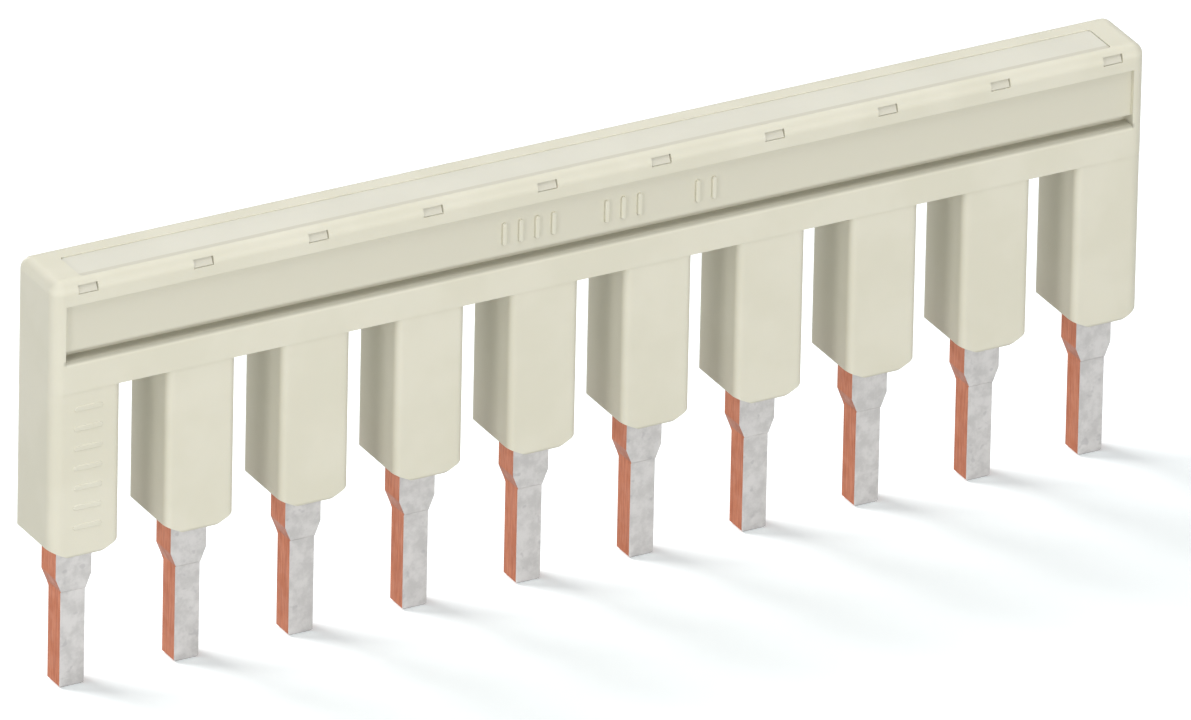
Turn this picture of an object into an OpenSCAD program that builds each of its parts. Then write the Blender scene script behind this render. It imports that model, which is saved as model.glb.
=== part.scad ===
// Plug-in jumper bar for a row of rail terminal blocks.
// A tinned copper comb bridges neighbouring blocks: its pins stand out of the legs of a moulded
// housing, and a strip inlaid in the top closes the slot above the comb's spine.
// +X runs along the row, -Y is the front with the label panel, and the pin tips stand on z = 0.

/* [Row] */
// Number of poles that the bar joins
poles = 10; // [2:1:12]
// Distance from one pole to the next
pitch = 5; // [4.4:0.1:6.2]

/* [Legs] */
// Width of a leg along the row
leg_w = 3; // [2.7:0.1:3.6]
// Height of a leg, from its tip up to the bar
leg_h = 7.15; // [5:0.05:10]
// How far the front of a leg lies behind the front of the bar
leg_step = 0.03; // [0.02:0.01:0.15]
// Rounding of the upright edges between the legs
leg_edge_r = 0.3; // [0.1:0.05:0.4]
// Width of the chamfer on each side of a leg's tip
tip_chamfer_w = 0.84; // [0.3:0.02:0.9]
// Height of that chamfer
tip_chamfer_h = 0.44; // [0.2:0.02:0.9]
// Rounding of the front and back edges of a leg's tip
tip_edge_r = 0.15; // [0.05:0.05:0.3]

/* [Bar] */
// Depth of the housing from front to back
body_d = 3.2; // [3:0.1:4]
// Height of the plain band below the groove
band_h = 1.35; // [1.1:0.05:2]
// Height of the groove
groove_h = 0.38; // [0.3:0.01:0.7]
// Depth of the groove behind the front
groove_d = 0.65; // [0.4:0.05:0.65]
// Rounding of the band's upper edge, at the mouth of the groove
lip_r = 0.2; // [0.1:0.02:0.36]
// Height of the label panel above the groove
panel_h = 2.02; // [1.5:0.01:3]
// How far the panel lies behind the front
panel_recess = 0.2; // [0.05:0.01:0.25]
// Height of the rim above the panel, up to the top of the bar
rim_h = 1; // [0.9:0.05:1.6]
// Length of the plain wall at each end of the groove and the panel
end_wall = 0.55; // [0.5:0.05:0.7]
// Rounding of the outer edges of the housing
edge_r = 0.5; // [0.3:0.05:0.6]

/* [Contact comb] */
// Thickness of the copper sheet
sheet_t = 1.2; // [0.8:0.05:1.4]
// Depth of the sheet's front face behind the front of the bar
sheet_front = 0.95; // [0.85:0.05:1.1]
// Height of the spine that joins the tines
spine_h = 2.4; // [1.5:0.1:2.6]
// Plastic left under the spine
spine_floor = 0.8; // [0.5:0.05:1]
// Width of a tine inside its leg, and of its shoulder below
tine_w = 1.55; // [1.2:0.05:1.8]
// Length of the shoulder that stands out of the leg
shoulder_h = 1.3; // [0.8:0.05:2]
// Height of the taper from the shoulder to the pin
taper_h = 0.6; // [0.3:0.05:0.8]
// Width of a pin
pin_w = 1.07; // [0.8:0.01:1.15]
// Length of a pin below the taper
pin_h = 4.2; // [3:0.1:6]
// Metal coined away from the front of a pin
coin_front = 0.05; // [0.02:0.01:0.1]
// Metal coined away from the back of a pin
coin_back = 0.15; // [0.05:0.01:0.2]
// Chamfer on the sides of a pin's tip
pin_tip_side = 0.1; // [0.05:0.01:0.2]
// Chamfer on the front and back of a pin's tip
pin_tip_face = 0.08; // [0.03:0.01:0.15]

/* [Cover strip] */
// Thickness of the strip
cover_t = 0.8; // [0.65:0.05:0.85]
// How far the strip's top lies below the top of the bar
cover_sink = 0.04; // [0.02:0.01:0.1]
// Depth of the strip's front edge behind the front of the bar
cover_front = 0.45; // [0.4:0.05:0.6]
// Length of the plain border at each end of the strip
cover_border = 1.4; // [1:0.1:2]
// Rounding of the strip's corners
cover_corner_r = 0.15; // [0.05:0.05:0.3]
// Width of the window in the rim for each catch
window_w = 0.86; // [0.5:0.02:1.2]
// Height of a window
window_h = 0.36; // [0.25:0.01:0.4]
// Plastic left above a window, up to the top of the bar
window_drop = 0.2; // [0.15:0.01:0.25]
// Depth of a catch's toe behind the front of the bar
catch_toe = 0.03; // [0.02:0.01:0.1]
// How much deeper the head of a catch lies than its toe
catch_lean = 0.15; // [0.05:0.01:0.2]

/* [Fit] */
// Gap round the comb and round the strip
fit_gap = 0.03; // [0.02:0.01:0.04]

/* [Hidden] */
$fn = 48;
over = 1;

// Heights, counted up from the pin tips
taper_z = pin_h;
shoulder_z = taper_z + taper_h;
leg_z = shoulder_z + shoulder_h;
bar_z = leg_z + leg_h;
groove_z = bar_z + band_h;
panel_z = groove_z + groove_h;
rim_z = panel_z + panel_h;
top_z = rim_z + rim_h;
spine_z = bar_z + spine_floor;
cover_z = top_z - cover_sink - cover_t;
window_z = top_z - window_drop - window_h;
// How far a leg runs up into the bar
leg_root = band_h / 2;

// Places along the row and through the depth, counted from the middle
row_l = (poles - 1) * pitch + leg_w;
end_x = row_l / 2;
front_y = -body_d / 2;
sheet_y = front_y + sheet_front;
sheet_back_y = sheet_y + sheet_t;
cover_y = front_y + cover_front;
spine_l = row_l - leg_w + tine_w;
cover_l = row_l - 2 * cover_border;

housing_colour = [0.87, 0.86, 0.78];
strip_colour = [0.9, 0.89, 0.84];
tin_colour = [0.8, 0.79, 0.79];

function pole_x(i) = (i - (poles - 1) / 2) * pitch;

// Stands a drawing of the front view (x, z) upright, from depth y and d deep
module stand_front(y, d) {
    translate([0, y + d, 0])
        rotate([90, 0, 0])
            linear_extrude(d)
                children();
}

// Stands a drawing of the side view (y, z) upright, from x and l long
module stand_side(x, l) {
    translate([x, 0, 0])
        rotate([90, 0, 90])
            linear_extrude(l)
                children();
}

// One side of a rounded rectangle, l long: the straight stretch between its two corner rounds
module rounded_side(l, r) {
    if (r > 0) {
        translate([r, 0])
            square([l - 2 * r, r]);
        for (x = [r, l - r])
            translate([x, r])
                circle(r);
    }
}

// Rectangle from corner [x, y], with radius r_low at its lower corners and r_high at its upper ones
module round_rect(corner, size, r_low, r_high) {
    translate(corner) {
        translate([0, r_low])
            square([size.x, size.y - r_low - r_high]);
        rounded_side(size.x, r_low);
        translate([0, size.y])
            mirror([0, 1])
                rounded_side(size.x, r_high);
    }
}

// Front view of one leg: straight flanks and a chamfered tip. It runs up into the bar.
module leg_front_view() {
    half = leg_w / 2;
    flat = half - tip_chamfer_w;
    polygon([
        [-half, leg_z + tip_chamfer_h], [-flat, leg_z],
        [flat, leg_z], [half, leg_z + tip_chamfer_h],
        [half, bar_z + leg_root], [-half, bar_z + leg_root]
    ]);
}

// Side view of the legs: set back at the front, with a softened tip
module leg_side_view() {
    leg_d = body_d - leg_step;
    translate([front_y + leg_step, leg_z])
        round_rect([0, 0], [leg_d, leg_h + leg_root], tip_edge_r, 0);
}

// Plan of one leg. The outer edges of the end legs take the housing's own rounding.
module leg_plan(r_left, r_right) {
    y = front_y + leg_step;
    d = body_d - leg_step;
    half = leg_w / 2;
    translate([-half, y + d])
        rotate(-90)
            round_rect([0, 0], [d, half + leg_edge_r], r_left, 0);
    translate([half, y])
        rotate(90)
            round_rect([0, 0], [d, half + leg_edge_r], r_right, 0);
}

module leg(i) {
    r_left = i == 0 ? edge_r : leg_edge_r;
    r_right = i == poles - 1 ? edge_r : leg_edge_r;
    translate([pole_x(i), 0, 0])
        intersection() {
            stand_front(front_y, body_d)
                leg_front_view();
            translate([0, 0, leg_z])
                linear_extrude(leg_h + leg_root)
                    leg_plan(r_left, r_right);
            stand_side(-leg_w / 2, leg_w)
                leg_side_view();
        }
}

// Solid bar with rounded ends and rounded top edges
module bar_block() {
    bar_h = top_z - bar_z;
    difference() {
        intersection() {
            stand_front(front_y, body_d)
                round_rect([-end_x, bar_z], [row_l, bar_h], 0, edge_r);
            stand_side(-end_x, row_l)
                round_rect([front_y, bar_z], [body_d, bar_h], 0, edge_r);
            translate([0, 0, bar_z])
                linear_extrude(bar_h)
                    round_rect([-end_x, front_y], [row_l, body_d], edge_r, edge_r);
        }
        for (mx = [0, 1], my = [0, 1])
            mirror([mx, 0, 0])
                mirror([0, my, 0])
                    upper_corner_cut();
    }
}

// What is cut from an upper corner of the bar, where three rounded edges meet in a ball
module upper_corner_cut() {
    translate([end_x - edge_r, body_d / 2 - edge_r, top_z - edge_r])
        difference() {
            cube(edge_r + over);
            rotate_extrude()
                intersection() {
                    circle(edge_r);
                    translate([0, -edge_r])
                        square([edge_r, 2 * edge_r]);
                }
        }
}

// Side view of what is cut from the front: the groove with its rounded lip, and the panel above it
module front_relief_view() {
    translate([front_y - over, groove_z])
        square([groove_d + over, groove_h]);
    translate([front_y - over, groove_z])
        square([panel_recess + over, groove_h + panel_h]);
    difference() {
        translate([front_y - over, groove_z - lip_r])
            square([lip_r + over, lip_r + groove_h]);
        translate([front_y + lip_r, groove_z - lip_r])
            circle(lip_r);
    }
}

// Front view of the comb: a spine with one tine, shoulder and pin for each pole
module comb_front_view(gap) {
    translate([-spine_l / 2 - gap, spine_z])
        square([spine_l + 2 * gap, spine_h + gap]);
    for (i = [0 : poles - 1])
        translate([pole_x(i), 0])
            tine_view(gap);
}

module tine_view(gap) {
    half = tine_w / 2 + gap;
    pin = pin_w / 2 + gap;
    tip = pin - pin_tip_side;
    polygon([
        [-tip, 0], [tip, 0], [pin, pin_tip_side], [pin, taper_z],
        [half, shoulder_z], [half, spine_z + spine_h / 2],
        [-half, spine_z + spine_h / 2], [-half, shoulder_z],
        [-pin, taper_z], [-pin, pin_tip_side]
    ]);
}

// Side view of the comb: full sheet in the housing, coined thinner along the pins
module comb_side_view() {
    pin_y = sheet_y + coin_front;
    pin_back_y = sheet_back_y - coin_back;
    polygon([
        [pin_y + pin_tip_face, 0], [pin_back_y - pin_tip_face, 0],
        [pin_back_y, pin_tip_face], [pin_back_y, taper_z - coin_back],
        [sheet_back_y, taper_z], [sheet_back_y, spine_z + spine_h],
        [sheet_y, spine_z + spine_h], [sheet_y, taper_z],
        [pin_y, taper_z - coin_front], [pin_y, pin_tip_face]
    ]);
}

// Space that the comb takes in the housing, open upwards to the strip
module comb_pocket() {
    stand_front(sheet_y - fit_gap, sheet_t + 2 * fit_gap)
        comb_front_view(fit_gap);
    translate([-cover_l / 2, sheet_y - fit_gap, spine_z])
        cube([cover_l, sheet_t + 2 * fit_gap, top_z - spine_z + over]);
}

// Plan of the strip, grown by gap
module cover_plan(gap) {
    d = sheet_back_y - cover_y;
    round_rect([-cover_l / 2 - gap, cover_y - gap], [cover_l + 2 * gap, d + 2 * gap],
        cover_corner_r, cover_corner_r);
}

// Side view of a catch: a ramp that leans back from its toe up to its head
module catch_side_view() {
    toe_z = window_z + fit_gap;
    head_z = window_z + window_h - fit_gap;
    toe_y = front_y + catch_toe;
    root_y = cover_y + cover_corner_r;
    polygon([[toe_y, toe_z], [root_y, toe_z], [root_y, head_z], [toe_y + catch_lean, head_z]]);
}

module catches() {
    catch_w = window_w - 2 * fit_gap;
    for (i = [0 : poles - 1])
        stand_side(pole_x(i) - catch_w / 2, catch_w)
            catch_side_view();
}

module windows() {
    for (i = [0 : poles - 1])
        translate([pole_x(i) - window_w / 2, front_y - over, window_z])
            cube([window_w, cover_front + over, window_h]);
}

module housing() {
    color(housing_colour)
        difference() {
            union() {
                bar_block();
                for (i = [0 : poles - 1])
                    leg(i);
            }
            stand_side(-end_x + end_wall, row_l - 2 * end_wall)
                front_relief_view();
            comb_pocket();
            translate([0, 0, cover_z])
                linear_extrude(cover_t + cover_sink + over)
                    cover_plan(fit_gap);
            windows();
        }
}

module contact_comb() {
    color(tin_colour)
        intersection() {
            stand_front(sheet_y, sheet_t)
                comb_front_view(0);
            stand_side(-spine_l / 2, spine_l)
                comb_side_view();
        }
}

module cover_strip() {
    color(strip_colour) {
        translate([0, 0, cover_z])
            linear_extrude(cover_t)
                cover_plan(0);
        catches();
    }
}

housing();
contact_comb();
cover_strip();
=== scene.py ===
"""Looks of a plug-in jumper bar: moulded pale housing, inlaid top strip and a tinned copper comb."""
import math

import bmesh
import bpy
from mathutils import Matrix, Vector


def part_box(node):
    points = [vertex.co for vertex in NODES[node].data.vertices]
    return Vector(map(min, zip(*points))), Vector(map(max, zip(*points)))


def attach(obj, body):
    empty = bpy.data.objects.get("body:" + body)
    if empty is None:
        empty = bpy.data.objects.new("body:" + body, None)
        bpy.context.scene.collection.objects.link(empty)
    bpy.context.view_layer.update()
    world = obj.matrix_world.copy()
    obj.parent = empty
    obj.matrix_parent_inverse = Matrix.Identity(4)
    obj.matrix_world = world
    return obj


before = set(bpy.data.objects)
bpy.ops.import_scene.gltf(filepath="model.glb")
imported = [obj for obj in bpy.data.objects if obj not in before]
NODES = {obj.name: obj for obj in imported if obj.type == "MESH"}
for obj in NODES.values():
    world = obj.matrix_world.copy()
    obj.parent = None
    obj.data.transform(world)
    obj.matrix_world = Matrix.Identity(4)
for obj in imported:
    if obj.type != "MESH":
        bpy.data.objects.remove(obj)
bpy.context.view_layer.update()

MM = 0.001
IMAGE_W = 1191
SENSOR_W = 36.0

# Camera, as fitted to the corners of the ten legs in the photograph
CAMERA_AZIMUTH = -28.854
CAMERA_ELEVATION = 26.686
CAMERA_ROLL = 1.210
CAMERA_DISTANCE = 1250 * MM
PIXELS_PER_MM = 25.765
CAMERA_TARGET = Vector((0.0, 0.05 * MM, 9.0 * MM))
# Where the middle of the picture lies beside that target, to the right and up
FRAME_OFFSET = (0.573 * MM, -0.165 * MM)

# Studio: even light all round, softboxes at one distance, and a white floor
WORLD_LEVEL = 0.44
LAMP_DISTANCE = 0.5
FLOOR_REACH = 3.0
FLOOR_SEEN = (0.83, 0.85, 0.855, 1)
FLOOR_BOUNCE = (0.34, 0.34, 0.34, 1)
FLOOR_GLOW = 0.37
FLOOR_GLOW_TINT = (0.93, 1.0, 1.02, 1)

# Front of the housing: lengths from its top, ends and front, and how softly each tint ends: a darker
# label panel, and painted shade in the groove and on its lip
END_WALL = 0.55 * MM
PANEL_DROP = 1.0 * MM
PANEL_H = 2.02 * MM
PANEL_RECESS = 0.20 * MM
GROOVE_H = 0.38 * MM
GROOVE_SHADE = (0.12 * MM, 0.66 * MM)
CATCH_REACH = 0.70 * MM
LIP_SHADE = 0.03 * MM
LEG_STEP = 0.03 * MM
PANEL_SOFT = 0.02 * MM
GROOVE_SOFT = 0.10 * MM
LIP_SOFT = 0.14 * MM
# Painted shade: colour and strength that darken roundings facing halfway up, against their highlight
EDGE_SHADE_COLOUR = (0.80, 0.80, 0.80, 1)
EDGE_SHADE_GAIN = 2.8

# Plain raised marks: each group's first place and count, the pitch in it, half sizes and
# the height that they stand proud
STROKE_GROUPS = ((-4.3 * MM, 4), (0.2 * MM, 3), (4.2 * MM, 2))
STROKE_PITCH = 0.72 * MM
STROKE_DROP = 0.10 * MM
STROKE_HALF_W = 0.09 * MM
STROKE_HALF_H = 0.48 * MM
STROKE_PROUD = 0.12 * MM
RIB_COUNT = 7
RIB_PITCH = 0.85 * MM
RIB_FROM_END = 1.58 * MM
RIB_FROM_TIP = 1.30 * MM
RIB_HALF_W = 0.62 * MM
RIB_HALF_H = 0.11 * MM
RIB_PROUD = 0.028 * MM
SUNK = 0.03 * MM
CORNER_STEPS = 5


def srgb(r, g, b):
    """Linear colour of an sRGB triple from 0 to 255."""
    def channel(c):
        c = c / 255
        return c / 12.92 if c <= 0.04045 else ((c + 0.055) / 1.055) ** 2.4
    return (channel(r), channel(g), channel(b), 1.0)


class Nodes:
    """A small helper that adds nodes to a material and links them."""

    def __init__(self, name):
        self.material = bpy.data.materials.new(name)
        self.material.use_nodes = True
        self.tree = self.material.node_tree
        self.shader = self.tree.nodes["Principled BSDF"]
        self.output = self.tree.nodes["Material Output"]

    def add(self, kind, **settings):
        node = self.tree.nodes.new(kind)
        for key, value in settings.items():
            setattr(node, key, value)
        return node

    def put(self, source, target):
        """Sets a socket from another socket or from a plain value."""
        if isinstance(source, bpy.types.NodeSocket):
            self.tree.links.new(source, target)
        else:
            target.default_value = source

    def position(self, scale=(1, 1, 1)):
        """Object-space position, stretched by scale."""
        mapping = self.add("ShaderNodeMapping")
        coords = self.add("ShaderNodeTexCoord")
        self.put(coords.outputs["Object"], mapping.inputs["Vector"])
        mapping.inputs["Scale"].default_value = scale
        return mapping.outputs["Vector"]

    def noise(self, per_mm, detail=2.0, roughness=0.5, stretch=(1, 1, 1)):
        """Noise with that many features a millimetre."""
        node = self.add("ShaderNodeTexNoise")
        self.put(self.position(stretch), node.inputs["Vector"])
        node.inputs["Scale"].default_value = per_mm / MM
        node.inputs["Detail"].default_value = detail
        node.inputs["Roughness"].default_value = roughness
        return node.outputs["Fac"]

    def remap(self, value, low, high, to_low=0.0, to_high=1.0):
        node = self.add("ShaderNodeMapRange", interpolation_type="SMOOTHSTEP")
        self.put(value, node.inputs["Value"])
        node.inputs["From Min"].default_value = low
        node.inputs["From Max"].default_value = high
        node.inputs["To Min"].default_value = to_low
        node.inputs["To Max"].default_value = to_high
        return node.outputs["Result"]

    def mix(self, factor, first, second, blend="MIX"):
        node = self.add("ShaderNodeMix", data_type="RGBA", blend_type=blend)
        self.put(factor, node.inputs[0])
        self.put(first, node.inputs[6])
        self.put(second, node.inputs[7])
        return node.outputs[2]

    def math(self, operation, first, second=0.0):
        node = self.add("ShaderNodeMath", operation=operation)
        self.put(first, node.inputs[0])
        self.put(second, node.inputs[1])
        return node.outputs[0]

    def upward_edge(self, gain):
        """A quarter of gain halfway between upright and facing up, less elsewhere and 0 below."""
        coords = self.add("ShaderNodeTexCoord")
        split = self.add("ShaderNodeSeparateXYZ")
        self.put(coords.outputs["Normal"], split.inputs["Vector"])
        up = self.math("MAXIMUM", split.outputs["Z"], 0.0)
        square = self.math("MULTIPLY", up, up)
        product = self.math("MULTIPLY", square, self.math("SUBTRACT", 1.0, square))
        return self.math("MULTIPLY", product, gain)

    def zone(self, low, high, soft):
        """1 inside a box given by two corners, fading to 0 over soft around it."""
        split = self.add("ShaderNodeSeparateXYZ")
        self.put(self.position(), split.inputs["Vector"])
        inside = None
        for axis in range(3):
            middle = (low[axis] + high[axis]) / 2
            half = (high[axis] - low[axis]) / 2
            off = self.math("ABSOLUTE", self.math("SUBTRACT", split.outputs[axis], middle))
            near = self.remap(off, half, half + soft, 1.0, 0.0)
            inside = near if inside is None else self.math("MULTIPLY", inside, near)
        return inside

    def bump(self, height, distance, strength):
        node = self.add("ShaderNodeBump")
        self.put(height, node.inputs["Height"])
        node.inputs["Distance"].default_value = distance
        node.inputs["Strength"].default_value = strength
        return node.outputs["Normal"]


def plastic_base(m, colour, shade):
    """Faint clouding between two colours."""
    clouds = m.noise(0.35, detail=3.0)
    return m.mix(m.remap(clouds, 0.35, 0.65), colour, shade)


def plastic_finish(m, colour):
    """Satin polyamide: fine eroded texture and a little depth under the given colour, with painted
    shade on roundings that face halfway up.
    """
    grain = m.noise(9.0, detail=3.0, roughness=0.6)
    # Painted shade: roundings that face halfway up are darkened against their highlight
    shaded_edges = m.mix(m.upward_edge(EDGE_SHADE_GAIN), colour, EDGE_SHADE_COLOUR, "MULTIPLY")
    m.put(shaded_edges, m.shader.inputs["Base Color"])
    m.put(m.remap(grain, 0.3, 0.7, 0.46, 0.56), m.shader.inputs["Roughness"])
    m.shader.inputs["Specular IOR Level"].default_value = 0.35
    m.shader.inputs["Subsurface Weight"].default_value = 0.05
    m.shader.inputs["Subsurface Radius"].default_value = (1.0, 0.8, 0.5)
    m.shader.inputs["Subsurface Scale"].default_value = 0.35 * MM
    m.put(m.bump(grain, 0.004 * MM, 0.6), m.shader.inputs["Normal"])
    return m.material


def housing_plastic(name):
    """The housing's plastic, with a darker label panel, and painted shade in the groove and on the lip
    below it.
    """
    m = Nodes(name)
    low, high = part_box("housing")
    front = low[1]
    end = high[0] - END_WALL
    panel_top = high[2] - PANEL_DROP
    panel_foot = panel_top - PANEL_H
    groove_foot = panel_foot - GROOVE_H
    colour = plastic_base(m, srgb(225, 222, 204), srgb(221, 218, 199))
    # A darker tone over the label panel
    panel = m.zone((-end, front + PANEL_RECESS, panel_foot),
                   (end, front + PANEL_RECESS, panel_top), PANEL_SOFT)
    colour = m.mix(panel, colour, srgb(216, 213, 195))
    # Painted shade in the groove below the label panel
    painted_groove_shade = m.zone((-end, front + GROOVE_SHADE[0], groove_foot),
                    (end, front + GROOVE_SHADE[1], panel_foot), GROOVE_SOFT)
    colour = m.mix(painted_groove_shade, colour, srgb(210, 207, 190))
    # Painted shade on the lip below the groove
    painted_lip_shade = m.zone((-end, front, groove_foot - LIP_SHADE),
                 (end, front + GROOVE_SHADE[1], groove_foot), LIP_SOFT)
    colour = m.mix(painted_lip_shade, colour, srgb(184, 181, 164))
    return plastic_finish(m, colour)


def strip_plastic(name):
    """The strip's plastic, darker on the catches that show in the housing's windows: a tone near the
    housing's, and painted shade against the light on their sloped faces.
    """
    m = Nodes(name)
    low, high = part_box("housing")
    catch_tone_and_shade = m.zone(low, (high[0], low[1] + CATCH_REACH, high[2]), PANEL_SOFT)
    colour = plastic_base(m, srgb(224, 222, 208), srgb(221, 219, 205))
    # Catches darkened: partly toward the housing's tone, partly painted shade against the light that
    # their slope catches
    return plastic_finish(m, m.mix(catch_tone_and_shade, colour, srgb(212, 209, 193)))


def tinned_copper(name):
    """Tin on the sheet's faces, bare copper on its punched edges, with painted shade where the copper
    faces downwards.
    """
    m = Nodes(name)
    coords = m.add("ShaderNodeTexCoord")
    split = m.add("ShaderNodeSeparateXYZ")
    m.put(coords.outputs["Normal"], split.inputs["Vector"])
    facing = m.math("ABSOLUTE", split.outputs["Y"])
    tin_mask = m.remap(facing, 0.35, 0.6)
    mottle = m.noise(1.6, detail=4.0, roughness=0.65)
    spots = m.noise(2.6, detail=1.0)
    drawn = m.noise(1.0, detail=3.0, stretch=(14, 14, 1))
    tin = m.mix(m.remap(mottle, 0.35, 0.65), srgb(192, 189, 187), srgb(210, 207, 205))
    tin = m.mix(m.remap(spots, 0.66, 0.76, 0.0, 0.45), tin, srgb(168, 165, 166))
    copper = m.mix(m.remap(drawn, 0.35, 0.65), srgb(180, 100, 64), srgb(198, 118, 80))
    # Painted shade: copper that faces downwards is darkened
    copper = m.mix(m.remap(split.outputs["Z"], -0.45, -0.15, 0.45, 0.0), copper, srgb(120, 62, 40))
    m.put(m.mix(tin_mask, copper, tin), m.shader.inputs["Base Color"])
    m.shader.inputs["Metallic"].default_value = 0.55
    m.put(m.remap(mottle, 0.3, 0.7, 0.38, 0.55), m.shader.inputs["Roughness"])
    m.put(m.bump(drawn, 0.01 * MM, 0.5), m.shader.inputs["Normal"])
    return m.material


def dress(name, material):
    node = NODES[name]
    node.data.materials.clear()
    node.data.materials.append(material)


def raised_pad(mesh, centre, half_w, half_h, proud, face):
    """Adds a pad with round corners and a bevelled top, proud of the upright plane y = face."""
    radius = min(half_w, half_h)
    outline = []
    for corner in range(4):
        for step in range(CORNER_STEPS + 1):
            angle = math.pi / 2 * (corner + step / CORNER_STEPS)
            sign_u = 1 if corner in (0, 3) else -1
            sign_v = 1 if corner in (0, 1) else -1
            outline.append((sign_u * (half_w - radius), sign_v * (half_h - radius), angle))
    bevel = min(0.35 * radius, proud)
    profile = ((0, -SUNK), (0, proud - bevel), (0.35 * bevel, proud - 0.3 * bevel), (bevel, proud))
    rings = []
    for inset, height in profile:
        ring = []
        for u, v, angle in outline:
            x = centre[0] + u + (radius - inset) * math.cos(angle)
            z = centre[1] + v + (radius - inset) * math.sin(angle)
            ring.append(mesh.verts.new((x, face - height, z)))
        rings.append(ring)
    count = len(outline)
    for lower, upper in zip(rings, rings[1:]):
        for k in range(count):
            face = mesh.faces.new((lower[k], lower[(k + 1) % count], upper[(k + 1) % count], upper[k]))
            face.smooth = True
    mesh.faces.new(rings[-1])
    mesh.faces.new(reversed(rings[0]))


def finish_piece(name, mesh, material):
    bmesh.ops.recalc_face_normals(mesh, faces=mesh.faces)
    data = bpy.data.meshes.new(name)
    mesh.to_mesh(data)
    mesh.free()
    data.materials.append(material)
    piece = bpy.data.objects.new(name, data)
    bpy.context.scene.collection.objects.link(piece)
    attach(piece, "root")
    return piece


def panel_strokes(material):
    """Three groups of plain upright strokes, a tally, in the middle of the label panel."""
    low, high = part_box("housing")
    face = low[1] + PANEL_RECESS
    middle = high[2] - PANEL_DROP - PANEL_H / 2 - STROKE_DROP
    mesh = bmesh.new()
    for first, count in STROKE_GROUPS:
        for k in range(count):
            centre = (first + STROKE_PITCH * k, middle)
            raised_pad(mesh, centre, STROKE_HALF_W, STROKE_HALF_H, STROKE_PROUD, face)
    return finish_piece("panel_strokes", mesh, material)


def leg_ribs(material):
    """A ladder of plain low ribs on the front of the first leg."""
    low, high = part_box("housing")
    face = low[1] + LEG_STEP
    mesh = bmesh.new()
    for k in range(RIB_COUNT):
        centre = (low[0] + RIB_FROM_END, low[2] + RIB_FROM_TIP + RIB_PITCH * k)
        raised_pad(mesh, centre, RIB_HALF_W, RIB_HALF_H, RIB_PROUD, face)
    return finish_piece("leg_ribs", mesh, material)


def seen_directly(m):
    """1 where the camera, gloss or glass looks at this surface, 0 for diffuse light."""
    path = m.add("ShaderNodeLightPath")
    seen = m.math("MAXIMUM", path.outputs["Is Camera Ray"], path.outputs["Is Glossy Ray"])
    return m.math("MAXIMUM", seen, path.outputs["Is Transmission Ray"])


def white_floor():
    """Matte floor that shows white where nothing shades it."""
    mesh = bpy.data.meshes.new("floor")
    reach = FLOOR_REACH
    corners = [(-reach, -reach, 0), (reach, -reach, 0), (reach, reach, 0), (-reach, reach, 0)]
    mesh.from_pydata(corners, [], [(0, 1, 2, 3)])
    floor = bpy.data.objects.new("floor", mesh)
    bpy.context.scene.collection.objects.link(floor)
    m = Nodes("floor_white")
    seen = seen_directly(m)
    m.put(m.mix(seen, FLOOR_BOUNCE, FLOOR_SEEN), m.shader.inputs["Base Color"])
    m.shader.inputs["Roughness"].default_value = 0.9
    m.shader.inputs["Specular IOR Level"].default_value = 0.0
    glow = m.add("ShaderNodeEmission")
    m.put(m.math("MULTIPLY", seen, FLOOR_GLOW), glow.inputs["Strength"])
    glow.inputs["Color"].default_value = FLOOR_GLOW_TINT
    both = m.add("ShaderNodeAddShader")
    m.put(m.shader.outputs["BSDF"], both.inputs[0])
    m.put(glow.outputs["Emission"], both.inputs[1])
    m.put(both.outputs["Shader"], m.output.inputs["Surface"])
    mesh.materials.append(m.material)
    return floor


def collection_of(name, *objects):
    """A collection outside the scene, for a lamp's light linking."""
    group = bpy.data.collections.new(name)
    for item in objects:
        group.objects.link(item)
    return group


def direction(azimuth, elevation):
    """Unit vector from the object towards that azimuth and elevation, in degrees. Azimuth 0 is -Y."""
    a = math.radians(azimuth)
    e = math.radians(elevation)
    return Vector((math.sin(a) * math.cos(e), -math.cos(a) * math.cos(e), math.sin(e)))


def softbox(name, azimuth, elevation, size, level, lights, blockers=None):
    """Square softbox that faces the object. At level 1 it lights a white card to white."""
    data = bpy.data.lights.new(name, "AREA")
    data.shape = "SQUARE"
    data.size = size
    data.energy = level * math.pi ** 2 * LAMP_DISTANCE ** 2
    lamp = bpy.data.objects.new(name, data)
    bpy.context.scene.collection.objects.link(lamp)
    towards = direction(azimuth, elevation)
    lamp.location = CAMERA_TARGET + towards * LAMP_DISTANCE
    lamp.rotation_mode = "QUATERNION"
    lamp.rotation_quaternion = (-towards).to_track_quat("-Z", "Y")
    lamp.light_linking.receiver_collection = lights
    if blockers:
        lamp.light_linking.blocker_collection = blockers


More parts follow.
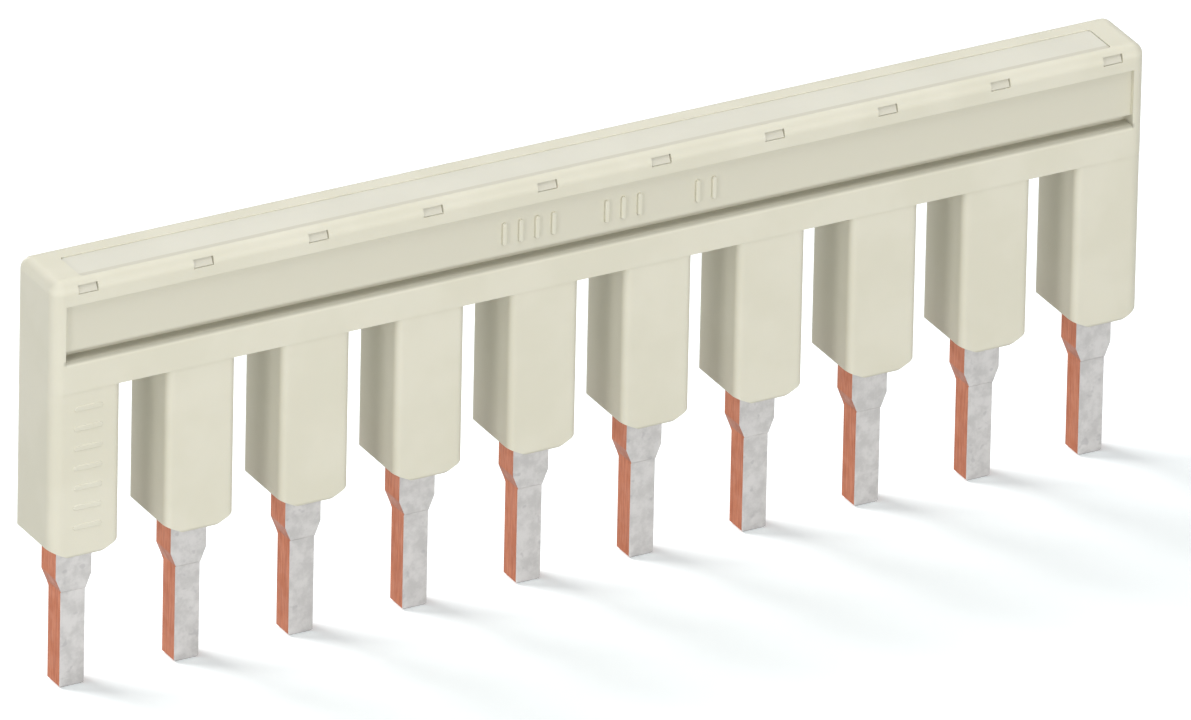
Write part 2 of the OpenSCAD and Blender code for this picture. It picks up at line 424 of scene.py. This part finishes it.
def white_world(level):
    """Even light from all round, which the camera sees as white."""
    world = bpy.data.worlds.new("studio")
    bpy.context.scene.world = world
    world.use_nodes = True
    tree = world.node_tree
    background = tree.nodes["Background"]
    background.inputs["Color"].default_value = (1, 1, 1, 1)
    path = tree.nodes.new("ShaderNodeLightPath")
    mix = tree.nodes.new("ShaderNodeMix")
    mix.data_type = "FLOAT"
    mix.inputs[2].default_value = level
    mix.inputs[3].default_value = 1.0
    tree.links.new(path.outputs["Is Camera Ray"], mix.inputs[0])
    tree.links.new(mix.outputs[0], background.inputs["Strength"])


def make_camera():
    azimuth = math.radians(CAMERA_AZIMUTH)
    roll = math.radians(CAMERA_ROLL)
    back = direction(CAMERA_AZIMUTH, CAMERA_ELEVATION)
    level_right = Vector((math.cos(azimuth), math.sin(azimuth), 0))
    level_up = back.cross(level_right)
    right = math.cos(roll) * level_right + math.sin(roll) * level_up
    up = back.cross(right)
    data = bpy.data.cameras.new("camera")
    data.sensor_width = SENSOR_W
    data.lens = PIXELS_PER_MM / MM * CAMERA_DISTANCE * SENSOR_W / IMAGE_W
    data.clip_start = 0.1
    data.clip_end = 50
    camera = bpy.data.objects.new("camera", data)
    bpy.context.scene.collection.objects.link(camera)
    turn = Matrix((right, up, back)).transposed().to_4x4()
    middle = CAMERA_TARGET + FRAME_OFFSET[0] * right + FRAME_OFFSET[1] * up
    camera.matrix_world = Matrix.Translation(middle + back * CAMERA_DISTANCE) @ turn
    bpy.context.scene.camera = camera


make_camera()
white_world(WORLD_LEVEL)
floor = white_floor()

moulded = housing_plastic("housing_plastic")
dress("housing", moulded)
dress("cover_strip", strip_plastic("strip_plastic"))
dress("contact_comb", tinned_copper("tinned_copper"))
marks = [panel_strokes(moulded), leg_ribs(moulded)]

part_only = collection_of("lit_part", *NODES.values(), *marks)
floor_only = collection_of("lit_floor", floor)
pins_only = collection_of("shading_pins", NODES["contact_comb"])
softbox("back_left", -108, 15, 0.20, 0.11, part_only)
softbox("left", -63, 12, 0.12, 0.20, part_only)
softbox("front", 0, 12, 0.40, 0.66, part_only)
softbox("top", -30, 80, 0.40, 0.51, part_only)
softbox("back", 180, 8, 0.10, 0.28, part_only)
softbox("floor_key", -140, 40, 0.27, 1.15, floor_only, pins_only)

bpy.context.scene.view_settings.view_transform = "Standard"
